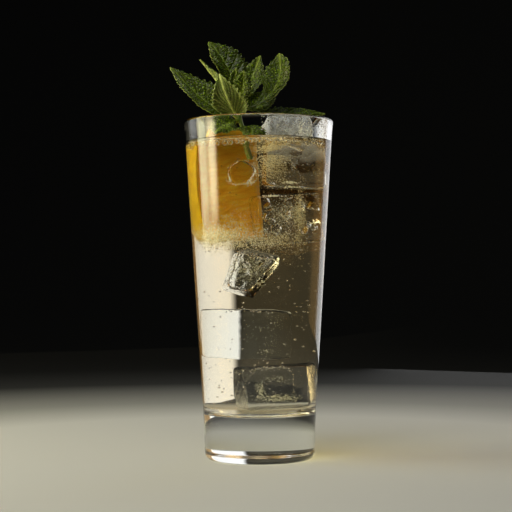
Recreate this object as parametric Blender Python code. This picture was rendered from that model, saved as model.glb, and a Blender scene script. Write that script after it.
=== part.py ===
"""A coconut highball: a tall heavy-based glass of pale drink with a citrus wedge, an ice block and a sprig of mint.

The glass stands on the XY plane with its foot centred on the origin, +Z up, and is seen along +Y. Units are metres.
"""

import math

import bmesh
import bpy
from mathutils import Matrix, Vector

MM = 0.001
GAP = 0.3 * MM  # left between pieces that touch

# Glass: a straight cone, fuller round the base and flared a little at the rim
RIM_HEIGHT = 160.0 * MM
CONE_RADIUS = 25.35 * MM  # of the cone's line where it would meet the table
WALL_SLOPE = 0.0619
BASE_SWELL = 0.7 * MM
BASE_TOP = 27.5 * MM
RIM_FLARE = 0.25 * MM
FLARE_START = 146.0 * MM
HEEL_WIDTH = 2.7 * MM
HEEL_HEIGHT = 3.6 * MM
LIP_THICKNESS = 1.9 * MM
FOOT_WALL_THICKNESS = 2.4 * MM
FLOOR_CENTRE_HEIGHT = 20.8 * MM
FLOOR_DISH = 0.9 * MM
FLOOR_FILLET = 4.5 * MM
GLASS_SEGMENTS = 48
WALL_RINGS = 4
CORNER_STEPS = 4

# Drink
DRINK_LEVEL = 147.8 * MM
MENISCUS_RISE = 2.2 * MM
MENISCUS_REACH = 1.6 * MM
DRINK_SEGMENTS = 48
DRINK_WALL_RINGS = 3

# Citrus wedge: about a quarter of a fruit with its ends cut off, leaning on the left wall
FRUIT_RADIUS = 29.0 * MM
WEDGE_LENGTH = 52.0 * MM
WEDGE_END_TAPER = 0.17
WEDGE_FROM, WEDGE_TO = math.radians(112), math.radians(200)
WEDGE_CENTRE = Vector((1.2, 1.0, 131.0)) * MM
WEDGE_LEAN = math.radians(3.5)
WEDGE_CORE = 2.2 * MM
WEDGE_ROUNDING = 1.6 * MM
PULP_RELIEF = 0.35 * MM
WEDGE_RINGS = 10
WEDGE_ARC_STEPS = 10
WEDGE_FACE_STEPS = 4

# Ice block that stands out of the drink on the right
ICE_SIZE = Vector((25.0, 23.0, 32.0)) * MM
ICE_CENTRE = Vector((13.3, 6.2, 144.0)) * MM
ICE_TURN = math.radians(5)
ICE_ROUNDING = 3.0 * MM
ICE_MELT = 0.9 * MM  # how far its corners are off a true block

# Mint: a square stem and leaves that grow from it. Points are in millimetres
STEM_ROUTE = ((-3.0, -3.5, 141.5), (-6.6, -4.0, 154.5), (-9.6, -4.4, 162.5), (-9.6, -3.8, 172.5))
STEM_WIDTH = 2.4 * MM
STEM_TAPER = 0.25
STEM_STEPS = 8
LEAF_THICKNESS = 0.5 * MM
STALK_SHARE = 0.1  # of a leaf's length
STALK_HALF_WIDTH = 0.6 * MM
STALK_CLEARANCE = 0.9 * MM  # from the stem to the middle of the stalk's end
STALK_SEARCH_STEPS = 60
TIP_HALF_WIDTH = 0.3 * MM
TOOTH_DEPTH = 0.07  # of the half width
VEIN_PAIRS = 6
VEIN_SLANT = 0.22  # how far towards the tip a side vein runs, as a share of the length
PUFF = 0.045  # height of the blade between two veins, as a share of the half width
LEAF_ROWS = 20
LEAF_COLUMNS = 6

# Each leaf: height of its stalk on the stem, tip, bow of the midrib, way the upper side faces, half width,
# fold in degrees, curl, and where along the blade it is widest
LEAVES = {
    "mint_leaf_left": (160.0, (-41.8, 2.0, 186.4), (1.7, -1, -8), (0.48, -0.79, 0.39), 10.6, 36, 0.05, 0.42),
    "mint_leaf_top": (171.0, (-23.5, 4.0, 198.8), (5, 2, 0), (0.53, -0.79, 0.31), 11.0, 36, -0.05, 0.50),
    "mint_leaf_front": (161.6, (-17.6, -20.0, 179.8), (0, -8, -5), (0.1, 0.5, 0.85), 9.0, 20, -0.25, 0.38),
    "mint_leaf_centre": (168.0, (-6.9, -14.0, 182.2), (2, -4, 0), (-0.35, -0.9, 0.2), 5.6, 26, -0.15, 0.42),
    "mint_leaf_right": (164.6, (9.8, 4.0, 193.0), (14.4, 0, -7), (-0.53, -0.82, 0.2), 9.2, 34, 0.05, 0.66),
    "mint_leaf_far": (162.2, (32.2, 8.0, 164.6), (2, 2, 1), (0.0, -0.42, 0.91), 7.6, 25, -0.10, 0.45),
    "mint_leaf_thin": (168.2, (-27.8, 11.0, 191.5), (2, 6, -2), (0.77, 0.0, 0.64), 6.0, 26, 0.05, 0.40),
    "mint_leaf_rear": (168.6, (1.0, 16.5, 194.0), (0, 12, -3), (-0.3, -0.85, 0.4), 7.8, 24, 0.05, 0.44),
    "mint_leaf_young": (172.0, (-10.5, -10.0, 184.2), (-1, -3, 0), (-0.2, -0.9, 0.3), 3.2, 24, 0.0, 0.40),
    "mint_leaf_side": (166.4, (6.0, 12.0, 178.8), (5, 5, -6), (-0.3, -0.9, 0.3), 6.8, 22, 0.05, 0.45),
    "mint_leaf_low_left": (159.4, (-20.0, -15.0, 152.8), (-3, -2, 2), (-0.35, -0.75, 0.55), 7.2, 18, -0.2, 0.45),
    "mint_leaf_low_right": (157.0, (-3.6, -17.2, 151.2), (4, -2, 2.6), (0.25, -0.8, 0.5), 7.2, 18, -0.2, 0.50),
}

GLASS_COLOUR = (0.93, 0.96, 0.95, 1.0)
DRINK_COLOUR = (0.87, 0.80, 0.52, 1.0)
CITRUS_COLOUR = (0.80, 0.52, 0.03, 1.0)
ICE_COLOUR = (0.88, 0.93, 0.95, 1.0)
MINT_COLOUR = (0.07, 0.16, 0.02, 1.0)
STEM_COLOUR = (0.25, 0.35, 0.08, 1.0)


def clear_scene():
    for thing in list(bpy.data.objects):
        bpy.data.objects.remove(thing)


def finish(name, colour, roughness, transmission=0.0):
    """A plain material of one colour."""
    material = bpy.data.materials.new(name)
    material.use_nodes = True
    shader = material.node_tree.nodes["Principled BSDF"]
    shader.inputs["Base Color"].default_value = colour
    shader.inputs["Roughness"].default_value = roughness
    shader.inputs["Metallic"].default_value = 0.0
    shader.inputs["Transmission Weight"].default_value = transmission
    return material


def object_from(shape, name, material):
    """Turns a bmesh into a named object with its faces pointing out."""
    bmesh.ops.recalc_face_normals(shape, faces=shape.faces)
    mesh = bpy.data.meshes.new(name)
    shape.to_mesh(mesh)
    shape.free()
    mesh.shade_smooth()
    mesh.set_sharp_from_angle(angle=math.radians(40))
    thing = bpy.data.objects.new(name, mesh)
    bpy.context.scene.collection.objects.link(thing)
    thing.data.materials.append(material)
    return thing


def as_cutter(thing):
    thing.hide_render = True
    thing.display_type = "WIRE"
    return thing


def cut(thing, cutter):
    modifier = thing.modifiers.new("Cut by " + cutter.name, "BOOLEAN")
    modifier.operation = "DIFFERENCE"
    modifier.solver = "EXACT"
    modifier.object = cutter


def turned(name, profile, segments, material):
    """A solid of revolution about Z, from (radius, height) points that start and end on the axis."""
    shape = bmesh.new()
    points = [shape.verts.new((radius, 0, height)) for radius, height in profile]
    edges = [shape.edges.new(pair) for pair in zip(points, points[1:])]
    bmesh.ops.spin(
        shape,
        geom=points + edges,
        axis=(0, 0, 1),
        cent=(0, 0, 0),
        angle=2 * math.pi,
        steps=segments,
        use_merge=True,
    )
    bmesh.ops.remove_doubles(shape, verts=shape.verts, dist=0.001 * MM)
    return object_from(shape, name, material)


def arc(centre, radii, start, end, steps):
    """Points along a stretch of an ellipse, both ends included."""
    turns = [start + (end - start) * step / steps for step in range(steps + 1)]
    return [(centre[0] + radii[0] * math.cos(turn), centre[1] + radii[1] * math.sin(turn)) for turn in turns]


def between(start, end, steps):
    """Evenly spaced values between two, both left out."""
    return [start + (end - start) * step / steps for step in range(1, steps)]


def outer_radius(height):
    cone = CONE_RADIUS + WALL_SLOPE * height
    base = BASE_SWELL * max(0.0, 1 - height / BASE_TOP) ** 2
    flare = RIM_FLARE * max(0.0, (height - FLARE_START) / (RIM_HEIGHT - FLARE_START)) ** 2
    return cone + base + flare


def wall_thickness(height):
    return FOOT_WALL_THICKNESS + (LIP_THICKNESS - FOOT_WALL_THICKNESS) * height / RIM_HEIGHT


def inner_radius(height):
    return outer_radius(height) - wall_thickness(height)


def hollow_profile(inset, segments_up, top):
    """The inside of the glass, from the wall at the height top down to the middle of its floor, moved in by inset."""
    fillet = FLOOR_FILLET - inset
    corner = FLOOR_CENTRE_HEIGHT + FLOOR_DISH + FLOOR_FILLET
    wall = [(inner_radius(height) - inset, height) for height in between(top, corner, segments_up)]
    radius = inner_radius(corner) - inset
    turn = arc((radius - fillet, corner), (fillet, fillet), 0, -math.pi / 2, CORNER_STEPS)
    dish = ((radius - fillet) / 2, FLOOR_CENTRE_HEIGHT + FLOOR_DISH / 4 + inset)
    return wall + turn + [dish, (0.0, FLOOR_CENTRE_HEIGHT + inset)]


def make_glass(material):
    foot = outer_radius(HEEL_HEIGHT) - HEEL_WIDTH
    heel = arc((foot, HEEL_HEIGHT), (HEEL_WIDTH, HEEL_HEIGHT), -math.pi / 2, 0, CORNER_STEPS)
    lip = LIP_THICKNESS / 2
    lip_height = RIM_HEIGHT - lip
    outside = [BASE_TOP, *between(BASE_TOP, lip_height, WALL_RINGS)]
    rim = arc((outer_radius(lip_height) - lip, lip_height), (lip, lip), 0, math.pi, CORNER_STEPS)
    profile = [
        (0.0, 0.0),
        *heel,
        *[(outer_radius(height), height) for height in outside],
        *rim,
        *hollow_profile(0.0, WALL_RINGS, lip_height),
    ]
    return turned("glass", profile, GLASS_SEGMENTS, material)


def make_drink(material, cutters):
    """The drink fills the glass to its level, climbs the wall a little, and is cut round what stands in it."""
    edge_height = DRINK_LEVEL + MENISCUS_RISE
    edge_radius = inner_radius(edge_height) - GAP
    inward = [0.0, 0.5, 1.3, 2.8, 6.0]  # in units of the reach of the meniscus
    surface = [
        (edge_radius - MENISCUS_REACH * share, DRINK_LEVEL + MENISCUS_RISE * math.exp(-share))
        for share in reversed(inward)
    ]
    profile = [(0.0, DRINK_LEVEL), *surface, *hollow_profile(GAP, DRINK_WALL_RINGS, edge_height)]
    drink = turned("drink", profile, DRINK_SEGMENTS, material)
    for cutter in cutters:
        cut(drink, cutter)
    return drink


def wedge_outline(radius, grow):
    """One level of the wedge: out along the back cut, round the rind, and in along the front cut."""
    start, end = WEDGE_FROM, WEDGE_TO
    middle = Vector((math.cos((start + end) / 2), math.sin((start + end) / 2)))
    centre = -middle * grow * math.sqrt(2)
    directions = [Vector((math.cos(turn), math.sin(turn))) for turn in (start, end)]
    reach = radius + grow * (1 + math.sqrt(2))
    steps = range(1, WEDGE_FACE_STEPS + 1)
    spans = [WEDGE_CORE + (reach - WEDGE_CORE) * step / (WEDGE_FACE_STEPS + 0.15) for step in steps]
    back = [centre + directions[0] * span for span in [WEDGE_CORE, *spans]]
    turns = [start + (end - start) * step / WEDGE_ARC_STEPS for step in range(WEDGE_ARC_STEPS + 1)]
    rind = [centre + Vector((math.cos(turn), math.sin(turn))) * reach for turn in turns]
    front = [centre + directions[1] * span for span in reversed([WEDGE_CORE, *spans])]
    return back, rind, front


def pulp_swell(share_out, share_up):
    """The pulp's relief on a cut face: 0 at the core and the rind, with soft lumps between."""
    lumps = math.sin(share_out * math.pi) * (1 + 0.5 * math.sin(9.0 * share_up + 4.0 * share_out))
    return PULP_RELIEF * lumps


def make_wedge(name, material, grow=0.0):
    """A quarter of a fruit, core to rind, standing on end. A cutter is the same shape grown by a clearance."""
    shape = bmesh.new()
    half = WEDGE_LENGTH / 2 + grow
    rounding = WEDGE_ROUNDING + grow
    heights = [-half, -half + rounding, *between(-half + rounding, half - rounding, WEDGE_RINGS - 3)]
    heights += [half - rounding, half]
    rings = []
    for height in heights:
        share = height / half
        radius = FRUIT_RADIUS * (1 - WEDGE_END_TAPER * share * share)
        if abs(height) == half:
            radius -= rounding * 0.7
        back, rind, front = wedge_outline(radius, grow)
        side_back = Vector((math.sin(WEDGE_FROM), -math.cos(WEDGE_FROM)))
        side_front = Vector((-math.sin(WEDGE_TO), math.cos(WEDGE_TO)))
        points = []
        for step, point in enumerate(back):
            points.append(point + side_back * pulp_swell(step / len(back), share))
        points += rind
        for step, point in enumerate(front):
            points.append(point + side_front * pulp_swell(1 - (step + 1) / len(front), share))
        rings.append([shape.verts.new((point.x, point.y, height)) for point in points])
    for low, high in zip(rings, rings[1:]):
        for step in range(len(low)):
            following = (step + 1) % len(low)
            shape.faces.new((low[step], low[following], high[following], high[step]))
    shape.faces.new(list(reversed(rings[0])))
    shape.faces.new(rings[-1])
    bmesh.ops.triangulate(shape, faces=shape.faces)
    wedge = object_from(shape, name, material)
    outward = (WEDGE_FROM + WEDGE_TO) / 2
    lean = Matrix.Rotation(WEDGE_LEAN, 4, Vector((-math.sin(outward), math.cos(outward), 0)))
    wedge.matrix_world = Matrix.Translation(WEDGE_CENTRE) @ lean
    return wedge


def make_ice(name, material, grow=0.0):
    """A block of ice with melted edges, no two sides quite square."""
    shape = bmesh.new()
    bmesh.ops.create_cube(shape, size=1.0)
    for number, corner in enumerate(shape.verts):
        melt = Vector((math.sin(number * 2.1), math.sin(number * 3.7 + 1), math.sin(number * 5.3 + 2))) * ICE_MELT
        sides = [math.copysign(1.0, axis) for axis in corner.co]
        place = [side * (size / 2 + grow) for side, size in zip(sides, ICE_SIZE)]
        corner.co = Vector(place) + melt
    bmesh.ops.bevel(
        shape,
        geom=shape.edges[:] + shape.verts[:],
        offset=ICE_ROUNDING + grow * 0.6,
        segments=3,
        profile=0.5,
        affect="EDGES",
    )
    bmesh.ops.triangulate(shape, faces=shape.faces)
    ice = object_from(shape, name, material)
    ice.matrix_world = Matrix.Translation(ICE_CENTRE) @ Matrix.Rotation(ICE_TURN, 4, "Z")
    return ice


def curve_point(points, share):
    """A point on a smooth curve through the given points."""
    place = share * (len(points) - 1)
    first = min(int(place), len(points) - 2)
    along = place - first
    a = points[max(first - 1, 0)]
    b, c = points[first], points[first + 1]
    d = points[min(first + 2, len(points) - 1)]
    bend = (2 * a - 5 * b + 4 * c - d) * along**2 + (3 * b - a - 3 * c + d) * along**3
    return (2 * b + (c - a) * along + bend) / 2


def stem_ring(share):
    """The middle of the stem at a share of its length, and half its width from edge to edge."""
    route = [Vector(point) * MM for point in STEM_ROUTE]
    return curve_point(route, share), STEM_WIDTH / 2 * (1 - STEM_TAPER * share)


def make_stem(name, material, grow=0.0):
    """Mint's square stem, cut off level at its foot."""
    shape = bmesh.new()
    rings = []
    for step in range(STEM_STEPS + 1):
        middle, half = stem_ring(step / STEM_STEPS)
        if step == 0:
            middle -= Vector((0, 0, grow))
        half += grow * math.sqrt(2)
        corners = [(half, 0), (0, half), (-half, 0), (0, -half)]
        rings.append([shape.verts.new(middle + Vector((x, y, 0))) for x, y in corners])
    for low, high in zip(rings, rings[1:]):
        for step in range(4):
            following = (step + 1) % 4
            shape.faces.new((low[step], low[following], high[following], high[step]))
    shape.faces.new(list(reversed(rings[0])))
    shape.faces.new(rings[-1])
    bmesh.ops.triangulate(shape, faces=shape.faces)
    return object_from(shape, name, material)


def blade_half_width(share, half_width, widest):
    """Half the leaf's width at a share of its length: a thin stalk, then an egg-shaped blade with a sharp tip."""
    if share <= STALK_SHARE:
        return STALK_HALF_WIDTH
    along = (share - STALK_SHARE) / (1 - STALK_SHARE)
    swell = math.sin(math.pi * along ** (math.log(0.5) / math.log(widest))) ** 0.85
    return max(half_width * swell, STALK_HALF_WIDTH if along < 0.5 else TIP_HALF_WIDTH)


def stalk_start(height, towards):
    """Where a stalk leaves the stem: beside it, on the side of the point that the leaf grows towards."""
    shares = [step / STALK_SEARCH_STEPS for step in range(STALK_SEARCH_STEPS + 1)]
    middle, half = stem_ring(min(shares, key=lambda share: abs(stem_ring(share)[0].z - height)))
    out = Vector((towards.x - middle.x, towards.y - middle.y, 0)).normalized()
    return middle + out * (half / (abs(out.x) + abs(out.y)) + STALK_CLEARANCE)


def make_leaf(name, leaf, material):
    """A thin leaf with a toothed edge: folded along its midrib, puffed between its veins, curled at its edges."""
    height, tip, bow, face, half_width, fold, curl, widest = leaf
    tip, bow = Vector(tip) * MM, Vector(bow) * MM
    half_width *= MM
    fold = math.radians(fold)
    stalk = stalk_start(height * MM, tip + bow * 2)
    control = (stalk + tip) / 2 + bow
    shape = bmesh.new()
    upper, lower = [], []
    for row in range(LEAF_ROWS + 1):
        share = row / LEAF_ROWS
        middle = stalk * (1 - share) ** 2 + control * 2 * share * (1 - share) + tip * share**2
        along = ((control - stalk) * (1 - share) + (tip - control) * share).normalized()
        side = along.cross(Vector(face)).normalized()
        up = side.cross(along).normalized()
        width = blade_half_width(share, half_width, widest)
        toothed = width * (1 + TOOTH_DEPTH) if row % 2 and STALK_SHARE < share < 1 else width
        for column in range(LEAF_COLUMNS + 1):
            across = 2 * column / LEAF_COLUMNS - 1
            reach = abs(across) * (toothed if abs(across) == 1 else width)
            veins = abs(math.sin(math.pi * VEIN_PAIRS * (share - VEIN_SLANT * abs(across))))
            puff = PUFF * width * veins * (1 - abs(across)) * 2
            rise = reach * math.sin(fold) + curl * width * across**2 + puff
            point = middle + side * math.copysign(reach * math.cos(fold), across) + up * rise
            upper.append(shape.verts.new(point + up * LEAF_THICKNESS / 2))
            lower.append(shape.verts.new(point - up * LEAF_THICKNESS / 2))
    width = LEAF_COLUMNS + 1
    for row in range(LEAF_ROWS):
        for column in range(LEAF_COLUMNS):
            a = row * width + column
            b, c, d = a + 1, a + width + 1, a + width
            halves = ((a, b, c), (a, c, d)) if column < LEAF_COLUMNS // 2 else ((a, b, d), (b, c, d))
            for half in halves:
                shape.faces.new([upper[index] for index in half])
                shape.faces.new([lower[index] for index in reversed(half)])
    border = [row * width for row in range(LEAF_ROWS + 1)]
    border += [LEAF_ROWS * width + column for column in range(1, width)]
    border += [row * width + LEAF_COLUMNS for row in reversed(range(LEAF_ROWS))]
    border += list(reversed(range(1, LEAF_COLUMNS)))
    for here, following in zip(border, border[1:] + border[:1]):
        shape.faces.new((upper[here], upper[following], lower[following]))
        shape.faces.new((upper[here], lower[following], lower[here]))
    return object_from(shape, name, material)


def main():
    clear_scene()
    glass = finish("Soda-lime glass", GLASS_COLOUR, 0.02, 1.0)
    drink = finish("Pale drink", DRINK_COLOUR, 0.02, 0.9)
    citrus = finish("Citrus", CITRUS_COLOUR, 0.4)
    ice = finish("Ice", ICE_COLOUR, 0.1, 0.8)
    mint = finish("Mint leaf", MINT_COLOUR, 0.5)
    stalk = finish("Mint stem", STEM_COLOUR, 0.5)

    make_glass(glass)
    make_wedge("citrus_wedge", citrus)
    make_ice("ice_top", ice)
    make_stem("mint_stem", stalk)
    for name, leaf in LEAVES.items():
        make_leaf(name, leaf, mint)
    cutters = [
        as_cutter(make_wedge("space_for_wedge", citrus, GAP)),
        as_cutter(make_ice("space_for_ice", ice, GAP)),
        as_cutter(make_stem("space_for_stem", stalk, GAP)),
    ]
    make_drink(drink, cutters)


main()
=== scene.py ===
# Looks of a tall iced highball: glass, pale drink, ice, citrus wedge and a sprig of mint
import bpy
from math import atan2, copysign, cos, degrees, exp, hypot, log, pi, radians, sin, sqrt
import random
import time
from mathutils import Matrix, Vector, noise
from mathutils.bvhtree import BVHTree


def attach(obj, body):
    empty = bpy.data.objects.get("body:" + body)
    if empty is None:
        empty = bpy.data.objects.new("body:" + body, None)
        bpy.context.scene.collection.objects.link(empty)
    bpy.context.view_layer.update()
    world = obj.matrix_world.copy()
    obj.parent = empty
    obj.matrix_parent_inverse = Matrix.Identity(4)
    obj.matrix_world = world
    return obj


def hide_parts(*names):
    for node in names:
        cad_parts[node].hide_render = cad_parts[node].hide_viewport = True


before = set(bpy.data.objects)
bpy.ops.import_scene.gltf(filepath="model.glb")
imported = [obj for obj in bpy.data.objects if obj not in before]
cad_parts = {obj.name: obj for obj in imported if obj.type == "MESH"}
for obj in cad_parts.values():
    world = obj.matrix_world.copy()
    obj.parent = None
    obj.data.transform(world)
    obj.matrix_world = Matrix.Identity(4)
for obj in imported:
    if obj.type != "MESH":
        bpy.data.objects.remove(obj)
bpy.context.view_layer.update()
mm = 0.001
upward = Vector((0, 0, 1))
# Of the random draws. A block of ice adds the last two to its own
seeds = {"ring": 19, "bubbles": 7, "wreaths": 17, "froth": 13, "specksAndGlints": 29, "foam": 31,
         "clouds": 50, "cracks": 70}
startTime = time.time()
print("frame loaded:", len(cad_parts), "nodes")


# Small tools

def report(*words):
    print(*words, "at", round(time.time() - startTime), "s", flush=True)


def deselectAll():
    if bpy.context.mode != "OBJECT":
        bpy.ops.object.mode_set(mode="OBJECT")
    bpy.ops.object.select_all(action="DESELECT")


def activate(*things):
    deselectAll()
    for thing in things:
        thing.select_set(True)
    bpy.context.view_layer.objects.active = things[0]


def editAll(thing):  # edit mode, with all of the mesh selected
    activate(thing)
    bpy.ops.object.mode_set(mode="EDIT")
    bpy.ops.mesh.select_all(action="SELECT")


def leaveEdit():
    bpy.ops.object.mode_set(mode="OBJECT")


def sliceOff(place, facing):  # in edit mode, takes off what lies beyond a plane
    bpy.ops.mesh.select_all(action="SELECT")
    bpy.ops.mesh.bisect(plane_co=place, plane_no=facing, use_fill=True, clear_outer=True)


def applyPlace(thing):
    activate(thing)
    bpy.ops.object.transform_apply(location=True, rotation=True, scale=True)


def applyModifier(thing, kind, **settings):
    activate(thing)
    modifier = thing.modifiers.new(kind.title(), kind)
    for key, value in settings.items():
        setattr(modifier, key, value)
    bpy.ops.object.modifier_apply(modifier=modifier.name)


def fixNormals(thing):  # also merges doubled points
    editAll(thing)
    bpy.ops.mesh.remove_doubles(threshold=0.01 * mm)
    bpy.ops.mesh.normals_make_consistent(inside=False)
    leaveEdit()


def shadeSmooth(thing, angle=60):
    activate(thing)
    bpy.ops.object.shade_smooth_by_angle(angle=radians(angle))


def smoothFaces(thing):
    for face in thing.data.polygons:
        face.use_smooth = True


def meshFrom(name, points, edges, faces):
    mesh = bpy.data.meshes.new(name)
    mesh.from_pydata(points, edges, faces)
    thing = bpy.data.objects.new(name, mesh)
    bpy.context.collection.objects.link(thing)
    return thing


def copyOfNode(node, name):  # a merged copy of a CAD solid
    thing = bpy.data.objects.new(name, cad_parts[node].data.copy())
    bpy.context.collection.objects.link(thing)
    thing.data.materials.clear()
    fixNormals(thing)
    return thing


def spinProfile(name, profile, steps):  # profile: radius and height pairs in mm
    points = [(radius * mm, 0, height * mm) for radius, height in profile]
    thing = meshFrom(name, points, [(step, step + 1) for step in range(len(points) - 1)], [])
    editAll(thing)
    bpy.ops.mesh.spin(steps=steps, angle=2 * pi, center=(0, 0, 0), axis=(0, 0, 1))
    fixNormals(thing)
    shadeSmooth(thing)
    return thing


def arcPoints(centre, radius, start, end, steps, high=None):  # angles in degrees; high makes it an ellipse
    turns = [radians(start + (end - start) * step / steps) for step in range(steps + 1)]
    high = high or radius
    return [(centre[0] + radius * cos(turn), centre[1] + high * sin(turn)) for turn in turns]


def reshape(thing, place):  # place gives a vertex's new spot from its spot and normal
    before = [(vertex.co.copy(), vertex.normal.copy()) for vertex in thing.data.vertices]
    after = [place(spot, normal) for spot, normal in before]
    thing.data.vertices.foreach_set("co", [value for spot in after for value in spot])
    thing.data.update()


def smoothStep(low, high, value):
    share = min(max((value - low) / (high - low), 0.0), 1.0)
    return share * share * (3 - 2 * share)


def ballOf(detail):  # radius 1
    deselectAll()
    bpy.ops.mesh.primitive_ico_sphere_add(subdivisions=detail, radius=1, location=(0, 0, 0))
    return bpy.context.object


def ballsAt(name, detail, spots, jag=0.0):  # a spot is a place and size, and maybe a squash and its way
    points, faces = [], []
    ball = ballOf(detail)
    corners = [vertex.co.copy() for vertex in ball.data.vertices]
    sides = [tuple(face.vertices) for face in ball.data.polygons]
    bpy.data.objects.remove(ball)
    for number, (place, size, *squashed) in enumerate(spots):
        first = len(points)
        for corner in corners:
            lumpy = corner * (1 + jag * noise.noise(corner * 1.7 + Vector((number * 7.3, 0, 0))))
            if squashed:
                squash, way = squashed
                lumpy = lumpy - way * lumpy.dot(way) * (1 - squash)
            points.append(Vector(place) + lumpy * size)
        faces.extend(tuple(first + index for index in side) for side in sides)
    thing = meshFrom(name, points, [], faces)
    smoothFaces(thing)
    return thing


def hollowOut(thing, hollow):  # turns a shape inside out and joins it, as a hollow in what is round it
    editAll(hollow)
    bpy.ops.mesh.flip_normals()
    leaveEdit()
    activate(thing, hollow)
    bpy.ops.object.join()


def surfaceTree(thing):  # for asking how near a place is to a mesh
    points = [vertex.co for vertex in thing.data.vertices]
    return BVHTree.FromPolygons(points, [tuple(face.vertices) for face in thing.data.polygons])


def depthIn(tree, place):  # how far a place lies inside a closed mesh, below 0 outside it
    nearest, normal, _, _ = tree.find_nearest(place)
    return (nearest - place).dot(normal)


def addPiece(thing, name, material, node=None):
    thing.name = name
    thing.data.name = name
    thing.data.materials.clear()
    thing.data.materials.append(material)
    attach(thing, "root")
    if node:
        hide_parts(node)


# Materials

def linear(code):  # an sRGB hex value as the linear colour that Blender wants
    parts = [int(code[place:place + 2], 16) / 255 for place in (1, 3, 5)]
    parts = [part / 12.92 if part <= 0.04045 else ((part + 0.055) / 1.055) ** 2.4 for part in parts]
    return (*parts, 1.0)


def setInputs(node, inputs):  # each is a value, or the socket that it comes from
    for key, value in inputs.items():
        if isinstance(value, bpy.types.NodeSocket):
            node.id_data.links.new(value, node.inputs[key])
        else:
            node.inputs[key].default_value = value


def addNode(tree, kind, inputs, **settings):
    node = tree.nodes.new("ShaderNode" + kind)
    for key, value in settings.items():
        setattr(node, key, value)
    setInputs(node, inputs)
    return node


def addMath(tree, operation, *inputs):
    return addNode(tree, "Math", dict(enumerate(inputs)), operation=operation).outputs[0]


def addRange(tree, value, low, high, toLow=0.0, toHigh=1.0, kind="SMOOTHSTEP"):
    limits = {"Value": value, "From Min": low, "From Max": high, "To Min": toLow, "To Max": toHigh}
    return addNode(tree, "MapRange", limits, interpolation_type=kind).outputs[0]


def addNoise(tree, vector, size, detail, roughness=0.5):  # size: how far apart its lumps are
    values = {"Vector": vector, "Scale": 1 / size, "Detail": detail, "Roughness": roughness}
    return addNode(tree, "TexNoise", values).outputs[0]


def addMix(tree, share, first, second, blend="MIX"):
    return addNode(tree, "Mix", {0: share, 6: first, 7: second}, data_type="RGBA",
                   blend_type=blend).outputs[2]


def addRamp(tree, share, stops):  # hex colours and their places, from 0 to 1
    ramp = addNode(tree, "ValToRGB", {0: share})
    while len(ramp.color_ramp.elements) < len(stops):
        ramp.color_ramp.elements.new(0.5)
    for element, (place, code) in zip(ramp.color_ramp.elements, stops):
        element.position = place
        element.color = linear(code)
    return ramp.outputs["Color"]


def addBump(tree, shader, height, strength, distance, invert=False):
    values = {"Height": height, "Strength": strength, "Distance": distance}
    setInputs(shader, {"Normal": addNode(tree, "Bump", values, invert=invert).outputs[0]})


def addMap(tree, name):  # red, green and blue that the mesh carries
    carried = addNode(tree, "Attribute", {}, attribute_name=name)
    return addNode(tree, "SeparateColor", {0: carried.outputs["Color"]}).outputs


def objectPlace(tree):
    return addNode(tree, "TexCoord", {}).outputs["Object"]


def newMaterial(name, **values):
    material = bpy.data.materials.new(name)
    material.use_nodes = True
    shader = material.node_tree.nodes["Principled BSDF"]
    setInputs(shader, {key.replace("_", " "): value for key, value in values.items()})
    return material, material.node_tree, shader


def clearMaterial(name, code, ior, clear=1.0, roughness=0.0):
    return newMaterial(name, Base_Color=linear(code), IOR=ior, Transmission_Weight=clear, Roughness=roughness)


def letLampsThrough(tree, surface, tint):  # clear things light what is in them, instead of shading it
    path = addNode(tree, "LightPath", {})
    clear = addNode(tree, "BsdfTransparent", {"Color": linear(tint)})
    mix = addNode(tree, "MixShader",
                  {0: path.outputs["Is Shadow Ray"], 1: surface.outputs[0], 2: clear.outputs[0]})
    setInputs(tree.nodes["Material Output"], {"Surface": mix.outputs[0]})


def dropMirroring(shader):  # for what lies against glass, drink or ice, where a surface barely mirrors
    setInputs(shader, {"Specular Tint": linear("#000000")})


# Soda-lime glass, pressed and fire-polished: quite colourless and very smooth
def pressedGlass():
    material, tree, shader = clearMaterial("pressed soda-lime glass", "#FBFDFC", 1.52)
    letLampsThrough(tree, shader, "#F4F6F5")
    return material


# Strained juice, syrup and soda: clear pale straw, deeper where there is more of it
def clearDrink():
    material, tree, shader = clearMaterial("clear pale drink", "#FFFFFF", 1.335)
    dropMirroring(shader)
    straw = addNode(tree, "VolumeAbsorption", {"Color": linear("#F3CE59"), "Density": 11.0})
    setInputs(tree.nodes["Material Output"], {"Volume": straw.outputs[0]})
    border = addNode(tree, "Attribute", {}, attribute_name="againstIce")
    unseen = addNode(tree, "BsdfTransparent", {})
    skin = addNode(tree, "MixShader",
                   {0: border.outputs["Fac"], 1: shader.outputs[0], 2: unseen.outputs[0]})
    letLampsThrough(tree, skin, "#FCF4D6")
    return material


# Bubble skin: the same drink in a thin film, almost colourless
def bubbleFilm():
    material, tree, shader = clearMaterial("bubble film", "#FFFDF6", 1.3)
    letLampsThrough(tree, shader, "#FAF8F0")
    return material


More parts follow.
